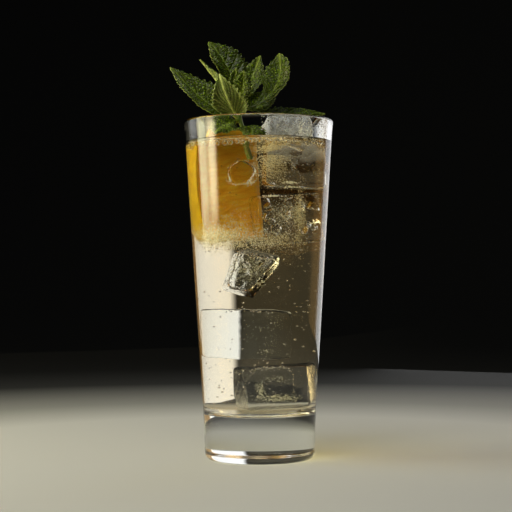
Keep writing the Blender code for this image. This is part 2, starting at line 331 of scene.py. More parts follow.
# Freezer ice, melting: glassy where it is wet, with a faint ripple, and white with frost where it is dry
def meltingIce(name, ior, rippled, frosted):
    material, tree, shader = clearMaterial(name, "#FBFDFD", ior)
    place = objectPlace(tree)
    addBump(tree, shader, addNoise(tree, place, 3.2 * mm, 3.0, 0.55), rippled, 0.4 * mm)  # ripples 3 mm apart
    if frosted:
        along = addNode(tree, "SeparateXYZ", {0: place}).outputs
        level = drinkSet["level"]
        dry = addRange(tree, along["Z"], level * mm, (level + 1.6) * mm)
        grains = addNoise(tree, place, 2.4 * mm, 5.0, 0.72)  # frost in patches of 2.4 mm
        patchy = addRange(tree, grains, 0.4, 0.6, 0.3)
        leftCorner = addRange(tree, along["X"], 7.0 * mm, 4.0 * mm)  # where the frost is thicker
        frost = addMath(tree, "MULTIPLY", dry, addMath(tree, "MAXIMUM", leftCorner, patchy))
        setInputs(shader, {"Transmission Weight": addRange(tree, frost, 0.0, 1.0, 1.0, 0.3, "LINEAR"),
                           "Roughness": addRange(tree, frost, 0.0, 1.0, 0.0, 0.45, "LINEAR")})
    else:
        dropMirroring(shader)
    letLampsThrough(tree, shader, "#F3F6F6")
    return material


# Fine bubbles, too small to see through: they scatter light and look white
def fineAir(name, code, clear):
    material, tree, shader = clearMaterial(name, code, 1.31, clear, 0.1)
    letLampsThrough(tree, shader, "#ECEFEF")
    return material


# Citrus, cut with a knife: waxy pored rind, cream pith, wet pulp in drop-shaped cells
def citrusFlesh():
    material, tree, shader = newMaterial("freshly cut citrus", Roughness=0.4, Specular_IOR_Level=0.25,
                                         Subsurface_Weight=0.5, Subsurface_Scale=3.0 * mm,
                                         Subsurface_Radius=(1.0, 0.7, 0.25))
    layer = addMap(tree, "layers")  # red rind, green pith, blue membrane
    place = objectPlace(tree)
    cellMap = addNode(tree, "Attribute", {}, attribute_name="cellMap").outputs["Vector"]
    cells = addNode(tree, "TexVoronoi", {"Vector": cellMap, "Scale": 1.0, "Randomness": 0.9},
                    feature="F1").outputs["Distance"]
    pores = addNode(tree, "TexVoronoi", {"Vector": place, "Scale": 1 / (1.3 * mm), "Smoothness": 0.6},
                    feature="SMOOTH_F1").outputs["Distance"]  # oil glands 1.3 mm apart
    pulp = addRamp(tree, cells, [(0.05, "#FFD34C"), (0.5, "#FCC23A"), (0.95, "#F3B12C")])
    rind = addRamp(tree, addNoise(tree, place, 7 * mm, 3.0), [(0.3, "#B89402"), (0.7, "#CBA904")])
    inner = addMix(tree, layer["Blue"], pulp, linear("#F4C04A"))
    flesh = addMix(tree, layer["Green"], inner, linear("#F2BC3E"))
    setInputs(shader, {"Base Color": addMix(tree, layer["Red"], flesh, rind)})
    height = addNode(tree, "Mix", {0: layer["Red"], 2: cells, 3: pores}, data_type="FLOAT").outputs[0]
    addBump(tree, shader, height, 0.5, 0.35 * mm, invert=True)
    return material


# Mint leaf, just picked: quilted and downy, paler along the veins and underneath, with painted shade in the
# creases of the quilting, painted light on its raised cells and a painted highlight along the margins
def mintBlade():
    material, tree, shader = newMaterial("fresh mint leaf", Specular_IOR_Level=0.34, Subsurface_Weight=0.12,
                                         Subsurface_Scale=0.6 * mm, Subsurface_Radius=(0.5, 1.0, 0.15))
    leaf = addMap(tree, "leafMap")  # red veins and a painted highlight along the margin, green underside, blue quilting as painted shade and light
    place = objectPlace(tree)
    blotch = addNoise(tree, place, 5 * mm, 4.0, 0.6)
    # The quilting ramps paint shade into the creases and light onto the raised cells and domes, on both sides
    # of the leaf
    topWithPaintedShade = addRamp(tree, leaf["Blue"], [(0.2, "#162400"), (0.5, "#4A6606"), (0.85, "#A0BE20")])
    patch = addRamp(tree, blotch, [(0.38, "#8C9A50"), (0.62, "#FFFFFF")])
    tinted = addMix(tree, 0.8, topWithPaintedShade, patch, "MULTIPLY")
    above = addMix(tree, leaf["Red"], tinted, linear("#93A838"))
    undersideWithPaintedShade = addRamp(tree, leaf["Blue"], [(0.1, "#284004"), (0.4, "#6A9020"), (0.8, "#C4E060")])
    below = addMix(tree, leaf["Red"], undersideWithPaintedShade, linear("#E0F088"))
    setInputs(shader, {"Base Color": addMix(tree, leaf["Green"], above, below),
                       "Roughness": addRange(tree, blotch, 0.0, 1.0, 0.14, 0.34, "LINEAR")})
    down = addNoise(tree, place, 0.7 * mm, 5.0, 0.65)  # drawn coarser than its 0.1 mm, so that it shows
    addBump(tree, shader, down, 0.6, 0.3 * mm)
    return material


# Mint stem: pale green, ribbed lengthwise
def mintStalk():
    material, tree, shader = newMaterial("fresh mint stem", Roughness=0.42, Specular_IOR_Level=0.4,
                                         Subsurface_Weight=0.2, Subsurface_Scale=0.8 * mm)
    ribSize = (1 / (0.5 * mm), 1 / (0.5 * mm), 1 / (7 * mm))  # ribs 0.5 mm apart
    stretch = addNode(tree, "Mapping", {"Vector": objectPlace(tree), "Scale": ribSize})
    ribs = addNoise(tree, stretch.outputs[0], 1.0, 2.0)
    setInputs(shader, {"Base Color": addRamp(tree, ribs, [(0.3, "#6E8736"), (0.7, "#9DB160")])})
    addBump(tree, shader, ribs, 0.4, 0.12 * mm)
    return material


# Glass

glassSet = {
    "rimHeight": 160.0, "coneRadius": 25.35, "wallSlope": 0.0619,
    "baseSwell": 0.7, "baseTop": 27.5, "rimFlare": 0.25, "flareStart": 146.0,
    "heelWidth": 2.7, "heelHeight": 3.6, "lipThickness": 1.9, "footWall": 2.4,
    "floorCentre": 20.8, "floorDish": 0.9, "floorFillet": 4.5,
    "around": 160, "up": 40, "corner": 12, "foot": 4, "floor": 8,  # steps of the mesh
}


def outerRadius(height):
    g = glassSet
    swell = g["baseSwell"] * max(0.0, 1 - height / g["baseTop"]) ** 2
    flare = g["rimFlare"] * max(0.0, (height - g["flareStart"]) / (g["rimHeight"] - g["flareStart"])) ** 2
    return g["coneRadius"] + g["wallSlope"] * height + swell + flare


def innerRadius(height):
    g = glassSet
    return outerRadius(height) - g["footWall"] + (g["footWall"] - g["lipThickness"]) * height / g["rimHeight"]


def hollowLine(top, into):  # down the inside of the glass; into moves it into the wall
    g = glassSet
    fillet = g["floorFillet"] + into
    corner = g["floorCentre"] + g["floorDish"] + g["floorFillet"]
    heights = [top + (corner - top) * step / g["up"] for step in range(1, g["up"])]
    line = [(innerRadius(height) + into, height) for height in heights]
    middle = innerRadius(corner) + into - fillet
    line += arcPoints((middle, corner), fillet, 0, -90, g["corner"])
    for step in range(g["floor"] - 1, -1, -1):
        share = step / g["floor"]
        line.append((middle * share, g["floorCentre"] - into + g["floorDish"] * share ** 2))
    return line


def makeGlass():
    g = glassSet
    heel = outerRadius(g["heelHeight"]) - g["heelWidth"]
    lip = g["lipThickness"] / 2
    lipHeight = g["rimHeight"] - lip
    line = [(heel * step / g["foot"], 0.0) for step in range(g["foot"])]
    line += arcPoints((heel, g["heelHeight"]), g["heelWidth"], -90, 0, g["corner"], g["heelHeight"])
    heights = [g["heelHeight"] + (lipHeight - g["heelHeight"]) * step / g["up"] for step in range(1, g["up"])]
    line += [(outerRadius(height), height) for height in heights]
    line += arcPoints((outerRadius(lipHeight) - lip, lipHeight), lip, 0, 180, g["corner"])
    line += hollowLine(lipHeight, 0.0)
    addPiece(spinProfile("glass", line, g["around"]), "HighballGlass", pressedGlass(), "glass")
    report("glass done")


# Ice. Each block that is wholly sunk lies in a hollow of the drink

iceSet = {
    "grain": 0.75, "bevel": 1.6,  # mesh size and rounding in mm
    "melt": 0.55, "meltSize": 9.0, "ripple": 0.12, "rippleSize": 2.6,
    "inset": 0.1,  # the hollow is this much smaller than the ice, so that no air gap shows
    "air": (0.07, 0.24), "airSpread": 0.42, "airSquash": (0.6, 1), "largeShare": 0.08, "largeTimes": 1.6,
    "crackThin": 0.05, "crackRagged": 0.7, "crackLean": (1.0, 0.8, 0.6),
    "airSkin": 0.1, "crackSkin": 0.4,  # clear ice that is left round air and round cracks
}
# A cut is the way that it faces and how far out it is, cracks are how many and how large, and clouds of
# air are where, how wide and how many. The index of a quiet block is relative to the drink, so that it
# mirrors no lamp
iceBlocks = {
    "IceTop": {
        "seed": 3, "cracks": (7, 1.2, 3.0),
        "clouds": (((-10, -6, -1), (3, 5, 9), 900), ((-5, -7, -1), (7, 4, 8), 500),
                   ((2, 0, -4), (8, 8, 9), 60)),
    },
    "IceUpper": {
        "centre": (9.8, 2.6, 114.0), "size": (26, 25, 23), "turn": (4, -5, 14), "seed": 11,
        "ior": 1.318, "quiet": False, "rippled": 0.3, "cuts": (((1, -0.6, 0.8), 0.8),),
        "cracks": (26, 0.8, 2.4), "clouds": (((0, -6, 2), (8, 5, 8), 700), ((6, -8, 2), (2.5, 3, 9), 500)),
    },
    "IceMiddle": {
        "centre": (-0.6, -2.0, 87.4), "size": (20, 21, 19), "turn": (8, 17, -14), "seed": 5,
        "ior": 1.07, "quiet": True, "rippled": 0.8,
        "cuts": (((0.93, 0.3, -0.32), 0.22), ((-0.3, -1, 0.7), 0.74), ((0.3, -0.8, 0.9), 0.8)),
        "cracks": (36, 0.8, 2.8), "clouds": (((-1, -5, 2), (10, 6, 9), 760),),
    },
    "IceLower": {
        "centre": (-5.0, 0.5, 59.6), "size": (26, 24, 23), "turn": (1, 1, 36), "seed": 8,
        "ior": 1.045, "quiet": True, "rippled": 0.6, "cuts": (((1, 0.6, 1), 0.85),),
        "clouds": (((9, -8, -8), (5, 3, 1.0), 90), ((4, -4, 0), (9, 6, 7), 40)),
    },
    "IceBottom": {
        "centre": (6.0, -0.6, 34.6), "size": (26, 24, 20), "turn": (2, -4, 7), "seed": 21,
        "ior": 1.305, "quiet": False, "rippled": 0.1, "cuts": (((-1, -0.3, 1), 0.8),),
        "clouds": (((2, -8, -5.0), (10, 5, 2.6), 520), ((-5.5, -8, -1), (2.4, 4, 5), 170),
                   ((0, -8, 4), (6, 4, 2.0), 80)),
    },
}


def roughenIce(thing, seed):
    s = iceSet
    applyModifier(thing, "REMESH", mode="VOXEL", voxel_size=s["grain"] * mm)
    applyModifier(thing, "SMOOTH", factor=0.5, iterations=3)
    shift = Vector((seed * 3.1, seed * 1.7, seed * 0.9))

    def melt(spot, normal):
        push = s["melt"] * noise.noise(spot / mm / s["meltSize"] + shift)
        push += s["ripple"] * noise.noise(spot / mm / s["rippleSize"] + shift)
        return spot + normal * push * mm

    reshape(thing, melt)
    shadeSmooth(thing, 80)


def cutIceBlock(name, block):
    deselectAll()
    bpy.ops.mesh.primitive_cube_add(size=1, location=(0, 0, 0), scale=[side * mm for side in block["size"]])
    thing = bpy.context.object
    thing.name = name
    applyPlace(thing)
    editAll(thing)
    bpy.ops.mesh.bevel(offset=iceSet["bevel"] * mm, segments=3, affect="EDGES")
    half = Vector(block["size"]) * mm / 2
    for way, share in block["cuts"]:  # chips knocked off the corners and edges
        facing = Vector(way).normalized()
        reach = sum(abs(facing[axis]) * half[axis] for axis in range(3)) * share
        sliceOff(facing * reach, facing)
    leaveEdit()
    thing.location = Vector(block["centre"]) * mm
    thing.rotation_euler = [radians(angle) for angle in block["turn"]]
    applyPlace(thing)
    return thing


def cloudsIn(block, clouds, seed):  # fine air bubbles in a block
    s = iceSet
    random.seed(seed)
    tree = surfaceTree(block)
    middle = sum((Vector(corner) for corner in block.bound_box), Vector()) / 8
    spots = []
    for shift, spread, count in clouds:
        for _ in range(count):
            away = [offset + random.gauss(0, s["airSpread"]) * side for offset, side in zip(shift, spread)]
            size = random.uniform(*s["air"])
            if random.random() < s["largeShare"]:
                size *= s["largeTimes"]
            size *= mm
            place = middle + Vector(away) * mm
            if depthIn(tree, place) > size + s["airSkin"] * mm:
                spots.append((place, size, random.uniform(*s["airSquash"]), upward))
    return spots


def crackBlock(block, count, least, most, seed):  # thin gaps of air inside a block, which catch the light
    s = iceSet
    random.seed(seed)
    tree = surfaceTree(block)
    low, high = Vector(block.bound_box[0]), Vector(block.bound_box[6])
    spots = []
    while len(spots) < count:
        place = Vector([random.uniform(low[axis], high[axis]) for axis in range(3)])
        room = depthIn(tree, place) - s["crackSkin"] * mm
        if room > least * mm:
            facing = Vector([random.gauss(0, spread) for spread in s["crackLean"]]).normalized()
            spots.append((place, min(room, random.uniform(least, most) * mm), s["crackThin"], facing))
    hollowOut(block, ballsAt("cracks", 3, spots, s["crackRagged"]))


def hollowFor(block, quiet):  # the drink's own face round a block
    hollow = block.copy()
    hollow.data = block.data.copy()
    bpy.context.collection.objects.link(hollow)
    applyModifier(hollow, "DISPLACE", strength=-iceSet["inset"] * mm, mid_level=0.0)
    againstIce = hollow.data.attributes.new("againstIce", "FLOAT", "POINT")
    againstIce.data.foreach_set("value", [float(quiet)] * len(hollow.data.vertices))
    return hollow


def makeIce():
    blocks = {}
    for name, facts in iceBlocks.items():
        blocks[name] = copyOfNode("ice_top", name) if name == "IceTop" else cutIceBlock(name, facts)
        roughenIce(blocks[name], facts["seed"])
    trees = {name: surfaceTree(block) for name, block in blocks.items()}
    hollows, clouds = [], []
    for name, block in blocks.items():
        facts = iceBlocks[name]
        clouds += cloudsIn(block, facts["clouds"], facts["seed"] + seeds["clouds"])
        if name != "IceTop":
            hollows.append(hollowFor(block, facts["quiet"]))
        if "cracks" in facts:
            crackBlock(block, *facts["cracks"], facts["seed"] + seeds["cracks"])
        if name == "IceTop":
            addPiece(block, name, meltingIce("melting ice in air", 1.31, 0.15, True), "ice_top")
        else:
            sunk = meltingIce("melting ice of " + name, facts["ior"], facts["rippled"], False)
            addPiece(block, name, sunk)
    air = fineAir("air frozen in ice", "#F4F8F8", 0.55)
    addPiece(ballsAt("air", 1, clouds), "IceFrozenAir", air)
    report("ice done")
    return trees, hollows


# Drink

drinkSet = {
    "level": 147.8, "rise": 2.2, "reach": 1.6,  # it climbs the wall by rise, within reach of it
    "rings": 12,  # of the surface's mesh, and then finer ones at the wall
    "ringGaps": (2.4, 1.9, 1.4, 1.0, 0.7, 0.4, 0.2, 0.0),
    "edgeOver": 0.3, "sideOver": 0.1,
    "intoWall": 0.45,  # how far it reaches into the glass, so that no air gap shows
    "intoIce": 0.12,
}


def surfaceHeight(radius):
    edge = innerRadius(drinkSet["level"] + drinkSet["rise"])
    return drinkSet["level"] + drinkSet["rise"] * exp(-max(edge - radius, 0) / drinkSet["reach"])


def makeDrinkBody():
    d = drinkSet
    top = d["level"] + d["rise"]
    edge = innerRadius(top)
    radii = [edge * step / d["rings"] for step in range(d["rings"] - 1)]
    radii += [edge - gap for gap in d["ringGaps"]]
    line = [(radius, surfaceHeight(radius)) for radius in radii]
    line += [(edge + d["intoWall"], top + d["edgeOver"])]
    line += hollowLine(top + d["sideOver"], d["intoWall"])
    drink = spinProfile("drink", line, glassSet["around"])
    cutter = copyOfNode("ice_top", "ice space")
    applyModifier(cutter, "DISPLACE", strength=-d["intoIce"] * mm, mid_level=0.0)
    applyModifier(drink, "BOOLEAN", operation="DIFFERENCE", solver="EXACT", object=cutter)
    bpy.data.objects.remove(cutter)
    shadeSmooth(drink, 50)
    return drink


# Bubbles. The clear ones are hollows in the drink's own mesh, as real ones are

bubbleSet = {
    "bubbleGap": 0.05, "iceGap": 0.03, "solidGap": 0.1, "wallGap": 0.3,  # kept clear round a bubble
    "smallness": 1.3,  # over 1, there are more small ones
    "sparkles": 320, "sparkleSizes": (0.16, 0.42), "sparkleHeights": (26, 144), "sparkleWall": 1.2,
    "band": (  # along the foot of the citrus: turn, height and their spread, how many and how large
        (-128, 19, 103.4, 2.0, 200, (0.18, 0.46)),
        (-78, 20, 101.4, 1.8, 80, (0.18, 0.46)),
    ),
    "bandDepth": 2.5, "frothDepth": 1.8, "speckDepth": 0.5,  # how far they spread from the glass
    "ring": (-168, -18), "ringSizes": (0.6, 1.3),  # large ones in a row under the surface, along the front
    "ringWall": 0.15, "ringSpacing": 0.6, "ringUneven": 0.8, "ringDepth": 0.2,
    "ringSink": 1.12, "ringGap": 0.05, "ringDrop": 0.15,
    # The wreaths are white beads that paint bright rims round the large bubbles
    "wreath": 18, "wreathSizes": (0.08, 0.17), "wreathGap": 0.06, "wreathWall": 0.25, "wreathUneven": 0.1,
    "froth": (  # very fine ones
        (-130, 17, 104.6, 3.2, 2500, (0.08, 0.24)),
        (-82, 18, 102.2, 2.4, 1200, (0.07, 0.22)),
        (-80, 8, 138.5, 5.5, 2400, (0.07, 0.19)),
        (-80, 7, 144.6, 1.5, 700, (0.07, 0.19)),
        (-51, 4, 114.0, 8.0, 600, (0.07, 0.22)),
        (-108, 14, 111.0, 4.0, 450, (0.07, 0.20)),
    ),
    "specksAndGlints": (  # whiter ones close to the glass: round the foot of the citrus, then in thin streaks along the ice, which are painted glints on the ice's edges
        (-132, 14, 104.4, 2.4, 800, (0.08, 0.24)),
        (-98, 17, 103.4, 2.6, 650, (0.08, 0.22)),
        (-70, 9, 108.0, 6.0, 260, (0.07, 0.20)),
        (-79, 7, 141.5, 3.4, 420, (0.07, 0.17)),
        # These three thin streaks are painted glints: white beads where light catches the ice's edges
        (-63, 3.0, 129.0, 0.28, 90, (0.12, 0.30)),
        (-62, 3.4, 127.0, 0.22, 60, (0.10, 0.24)),
        (-78, 3.6, 122.8, 0.22, 70, (0.12, 0.30)),
    ),
    "clingSizes": (0.12, 0.42), "clingSpread": 0.6,
    "clinging": (  # bubbles on the ice: the block, the middle of the patch, its spread and how many
        ("IceTop", (13.5, -14.0, 136.0), (1.0, 3.0, 8.0), 150),
        ("IceTop", (7.0, -14.0, 125.5), (6.0, 2.0, 0.8), 60),
        ("IceUpper", (13.0, -14.0, 115.0), (1.1, 3.0, 7.0), 140),
        ("IceUpper", (4.0, -14.0, 126.0), (7.0, 2.0, 0.8), 60),
        ("IceMiddle", (-2.0, -12.0, 98.0), (6.0, 3.0, 2.0), 120),
        ("IceLower", (-4.0, -14.0, 71.5), (9.0, 2.0, 0.7), 45),
        ("IceBottom", (3.0, -13.0, 44.5), (8.0, 2.0, 1.0), 70),
    ),
}
pocketSet = {  # a flat lens of air against the glass
    "turn": -104.0, "height": 133.6, "size": (6.4, 4.6, 0.5), "tilt": 22, "film": 0.35,
    "ragged": 0.3, "raggedSize": 1.3,
    "edgePower": 7,  # the higher, the flatter it is up to its edge
    "beads": ((-5.2, -3.4, 7), (3.6, -4.6, 11), (6.6, -1.0, 4)),  # beside it: along, up and how many
    "beadSizes": (0.22, 0.55), "beadSpread": (0.8, 0.6), "beadWall": 0.25,
    "wreath": 150, "wreathTurn": (-1.6, 1.5), "wreathReach": 1.07, "wreathSpread": 0.05,
    "finest": 9, "finestSpread": (1.1, 0.8),
}


def clearOf(place, size, others):
    gap = bubbleSet["bubbleGap"] * mm
    return all((place - other).length > size + radius + gap for other, radius in others)


def roundAt(radius, turn, height):
    return Vector((radius * cos(turn), radius * sin(turn), height)) * mm


def nearWall(turn, height, depth):  # a place under the inside of the glass
    return roundAt(innerRadius(height) - depth, radians(turn), height)


def somewhereIn(cloud, size, depth):  # a random place under the glass
    turn, turnSpread, height, heightSpread = cloud
    return nearWall(random.gauss(turn, turnSpread), random.gauss(height, heightSpread),
                    size + bubbleSet["wallGap"] + abs(random.gauss(0, depth)))


def besidePocket(along, up, spread, depth):
    return onWall(along + random.gauss(0, spread[0]), up + random.gauss(0, spread[1]), depth)


def ringSpots():
    b = bubbleSet
    random.seed(seeds["ring"])
    spots = []
    edge = innerRadius(drinkSet["level"])
    least, most = b["ringSizes"]
    turn = b["ring"][0]
    while turn < b["ring"][1]:
        size = random.uniform(0, 1) ** b["smallness"] * (most - least) + least
        depth = size + b["ringWall"] + abs(random.gauss(0, b["ringDepth"]))
        turn += degrees(size / edge)
        height = surfaceHeight(edge - depth) - size * b["ringSink"] - b["ringGap"]
        height -= abs(random.gauss(0, b["ringDrop"]))
        spots.append((nearWall(turn, height, depth), size * mm))
        turn += degrees((size + b["ringSpacing"] + random.gauss(0, b["ringUneven"]) ** 2) / edge)
    return spots


def bubbleSpots(iceTrees, taken):
    b, p = bubbleSet, pocketSet
    random.seed(seeds["bubbles"])
    placed = list(taken)

    def addBubble(place, size):
        outside = all(depthIn(tree, place) < -size - b["iceGap"] * mm for tree in iceTrees.values())
        if outside and clearOf(place, size, placed):
            placed.append((place, size))

    for _ in range(b["sparkles"]):  # single bubbles all over
        height = random.uniform(*b["sparkleHeights"])
        radius = (innerRadius(height) - b["sparkleWall"]) * sqrt(random.random())
        turn = random.uniform(0, 2 * pi)
        size = random.uniform(*b["sparkleSizes"]) * mm
        addBubble(roundAt(radius, turn, height), size)
    for *cloud, count, sizes in b["band"]:
        for _ in range(count):
            size = random.uniform(*sizes) ** b["smallness"]
            addBubble(somewhereIn(cloud, size, b["bandDepth"]), size * mm)
    for name, middle, spread, count in b["clinging"]:
        for _ in range(count):
            near = [value + random.gauss(0, b["clingSpread"]) * side for value, side in zip(middle, spread)]
            spot, normal, _, _ = iceTrees[name].find_nearest(Vector(near) * mm)
            size = random.uniform(*b["clingSizes"]) * mm
            place = spot + normal * (size + b["bubbleGap"] * mm)
            room = innerRadius(place.z / mm) * mm - hypot(place.x, place.y)
            if place.z < drinkSet["level"] * mm - size and room > size:
                addBubble(place, size)
    for along, up, count in p["beads"]:
        for _ in range(count):
            size = random.uniform(*p["beadSizes"])
            addBubble(besidePocket(along, up, p["beadSpread"], size + p["beadWall"]), size * mm)
    return placed[len(taken):]


def frothSpots(clouds, depth, seed):
    random.seed(seed)
    tried = []
    for *cloud, count, sizes in clouds:
        for _ in range(count):
            size = random.uniform(*sizes)
            tried.append((somewhereIn(cloud, size, depth), size))
    return tried


def rimGlintSpots(ring):  # white rings of the finest bubbles round the large ones, which paint on the bright rims that light gives a bubble
    b, p = bubbleSet, pocketSet
    random.seed(seeds["wreaths"])
    tried = []
    for middle, large in ring:
        for step in range(b["wreath"]):
            size = random.uniform(*b["wreathSizes"])
            way = 2 * pi * step / b["wreath"] + random.gauss(0, b["wreathUneven"])
            reach = large / mm + size + b["wreathGap"]
            turn = degrees(atan2(middle.y, middle.x) + cos(way) * reach * mm / middle.xy.length)
            tried.append((nearWall(turn, middle.z / mm + sin(way) * reach, size + b["wreathWall"]), size))
    for _ in range(p["wreath"]):  # and round the air pocket, mostly under it, as a painted glint along its lower edge
        size = random.uniform(*b["wreathSizes"])
        way = random.gauss(*p["wreathTurn"])
        reach = p["wreathReach"] + abs(random.gauss(0, p["wreathSpread"]))
        tried.append((pocketSpot(cos(way) * reach, sin(way) * reach, size + b["wreathWall"]), size))
    for along, up, count in p["beads"]:  # and in white clusters beside it, as painted glints
        for _ in range(count * p["finest"]):
            size = random.uniform(*b["wreathSizes"])
            tried.append((besidePocket(along, up, p["finestSpread"], size + b["wreathWall"]), size))
    return tried


def whereWet(tried, trees):  # those that lie in the drink, clear of what is in it
    spots = []
    for place, size in tried:
        under = place.z / mm + size < surfaceHeight(place.xy.length / mm)
        if under and all(depthIn(tree, place) < -(size + bubbleSet["iceGap"]) * mm for tree in trees):
            spots.append((place, size * mm))
    return spots


def onWall(along, up, depth):  # a place on the inside of the glass, measured from the air pocket's middle
    height = pocketSet["height"] + up
    radius = innerRadius(height) - depth
    return roundAt(radius, radians(pocketSet["turn"]) + along / radius, height)


def pocketSpot(across, high, depth):  # a place on a circle of radius 1, as one on the pocket's ragged outline
    p = pocketSet
    tilt = radians(p["tilt"])
    ragged = 1 + p["ragged"] * noise.noise(Vector((across, high, 4.0)) * p["raggedSize"])
    along, up = across * p["size"][0] * ragged, high * p["size"][1] * ragged
    return onWall(along * cos(tilt) - up * sin(tilt), along * sin(tilt) + up * cos(tilt), depth)


def makePocket():
    p = pocketSet
    pocket = ballOf(5)

    def flatten(spot, normal):  # flat, with a round edge
        flat = sqrt(max(1 - hypot(spot.x, spot.z) ** p["edgePower"], 0))
        flat = copysign(flat, spot.y)
        return pocketSpot(spot.x, spot.z, p["film"] + p["size"][2] * (1 + flat))

    reshape(pocket, flatten)
    fixNormals(pocket)
    smoothFaces(pocket)
    return pocket


def makeDrink(iceTrees, iceHollows):
    b = bubbleSet
    drink = makeDrinkBody()
    pocket = makePocket()
    trees = [surfaceTree(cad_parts[name]) for name in ("citrus_wedge", "ice_top", "mint_stem")]
    trees.append(surfaceTree(pocket))

    def isClear(place, size):
        return all(depthIn(tree, place) < -size - b["solidGap"] * mm for tree in trees)

    ring = [spot for spot in ringSpots() if isClear(*spot)]
    bubbles = [spot for spot in bubbleSpots(iceTrees, ring) if isClear(*spot)]
    for hollow in [ballsAt("bubbles", 2, bubbles), ballsAt("ring", 3, ring), pocket] + iceHollows:
        hollowOut(drink, hollow)
    addPiece(drink, "PaleDrink", clearDrink(), "drink")
    trees += list(iceTrees.values())
    froth = whereWet(frothSpots(b["froth"], b["frothDepth"], seeds["froth"]), trees)
    fine = fineAir("fine bubbles in drink", "#FFF5DA", 0.38)
    addPiece(ballsAt("froth", 1, froth), "FineBubbles", fine)
    finest = whereWet(rimGlintSpots(ring) + frothSpots(b["specksAndGlints"], b["speckDepth"], seeds["specksAndGlints"]), trees)
    # Near-opaque white beads: froth round the citrus, and painted highlights on the bubbles' rims, by the
    # pocket and along the ice
    glintAndFrothWhite = fineAir("white froth and painted glints", "#FFFCF2", 0.05)
    addPiece(ballsAt("wreaths", 1, finest), "WhiteFrothAndGlints", glintAndFrothWhite)
    report("drink done:", len(bubbles), "bubbles")


# Foam ring at the surface and drops on the wall over it

foamSet = {
    "beads": 150, "beadSizes": (0.35, 0.9), "beadWall": 0.1, "beadSpread": 0.9, "beadRise": 0.2,
    "beadTurns": ((-1.75, 0.45), (-1.35, 0.75)),  # where they gather round the glass, besides all round it
    "beadSmallness": 1.4, "largeShare": 0.1, "largeTimes": 1.2, "squash": 0.85,
    "skin": 0.86,  # how much of a bead is air
    "drops": 150, "dropSizes": (0.2, 0.6), "dropTurns": (-88, -22), "dropSquash": 0.55,  # turns in degrees
    "dropSmallness": 1.3, "dropSink": 0.1,
    "dropHeight": 155.6, "dropSpread": 1.9, "dropTop": 158.6,
}


def makeFoam():
    f = foamSet
    random.seed(seeds["foam"])
    placed = []
    for _ in range(f["beads"] * 5):
        turns = [random.gauss(*gathered) for gathered in f["beadTurns"]] + [random.uniform(0, 2 * pi)]
        turn = random.choice(turns)
        size = random.uniform(*f["beadSizes"]) ** f["beadSmallness"]
        size *= f["largeTimes"] if random.random() < f["largeShare"] else 1
        edge = innerRadius(drinkSet["level"] + drinkSet["rise"]) - size - f["beadWall"]
        edge -= abs(random.gauss(0, f["beadSpread"]))
        place = roundAt(edge, turn, surfaceHeight(edge) + size * f["beadRise"])
        if len(placed) < f["beads"] and clearOf(place, size * mm * f["squash"], placed):
            placed.append((place, size * mm * f["squash"]))
    spots = [(place, size / f["squash"], f["squash"], upward) for place, size in placed]
    foam = ballsAt("foam", 2, spots)
    spots = [(place, size * f["skin"], *rest) for place, size, *rest in spots]
    hollowOut(foam, ballsAt("air in foam", 2, spots))
    film = bubbleFilm()
    addPiece(foam, "SurfaceBubbles", film)
    drops = []
    for _ in range(f["drops"] * 3):  # in front of the ice
        turn = radians(random.uniform(*f["dropTurns"]))
        height = min(random.gauss(f["dropHeight"], f["dropSpread"]), f["dropTop"])
        size = random.uniform(*f["dropSizes"]) ** f["dropSmallness"]
        radius = innerRadius(height) - size * f["dropSink"]
        out = Vector((cos(turn), sin(turn), 0))
        place = (out * radius + Vector((0, 0, height))) * mm
        if len(drops) < f["drops"] and clearOf(place, size * mm, drops):
            drops.append((place, size * mm))
    spots = [(place, size, f["dropSquash"], Vector((place.x, place.y, 0)).normalized())
             for place, size in drops]
    addPiece(ballsAt("drops", 2, spots), "WallDrops", film)
    report("foam done")


# Citrus wedge, cut out of a whole fruit

citrusSet = {
    "radius": 29.0, "length": 52.0, "endTaper": 0.17, "from": 112, "to": 200, "core": 2.2,
    "centre": (1.2, 1.0, 131.0), "lean": 3.5, "round": 1.5,
    "grain": 0.5, "rindDepth": 1.0, "rindBlend": 0.3, "pithDepth": 1.8, "pithBlend": 1.2,
    "membranes": (131, 158, 184), "membraneWidth": 0.7,
    "endFacing": (0.7, 0.95), "coreSkin": (2.0, 4.0), "wander": 1.2, "wanderSize": 5.0,
    "cellLong": 5.5, "cellWide": 1.9, "poreSize": 1.3, "poreDepth": 0.10, "pulpDepth": 0.2,
}


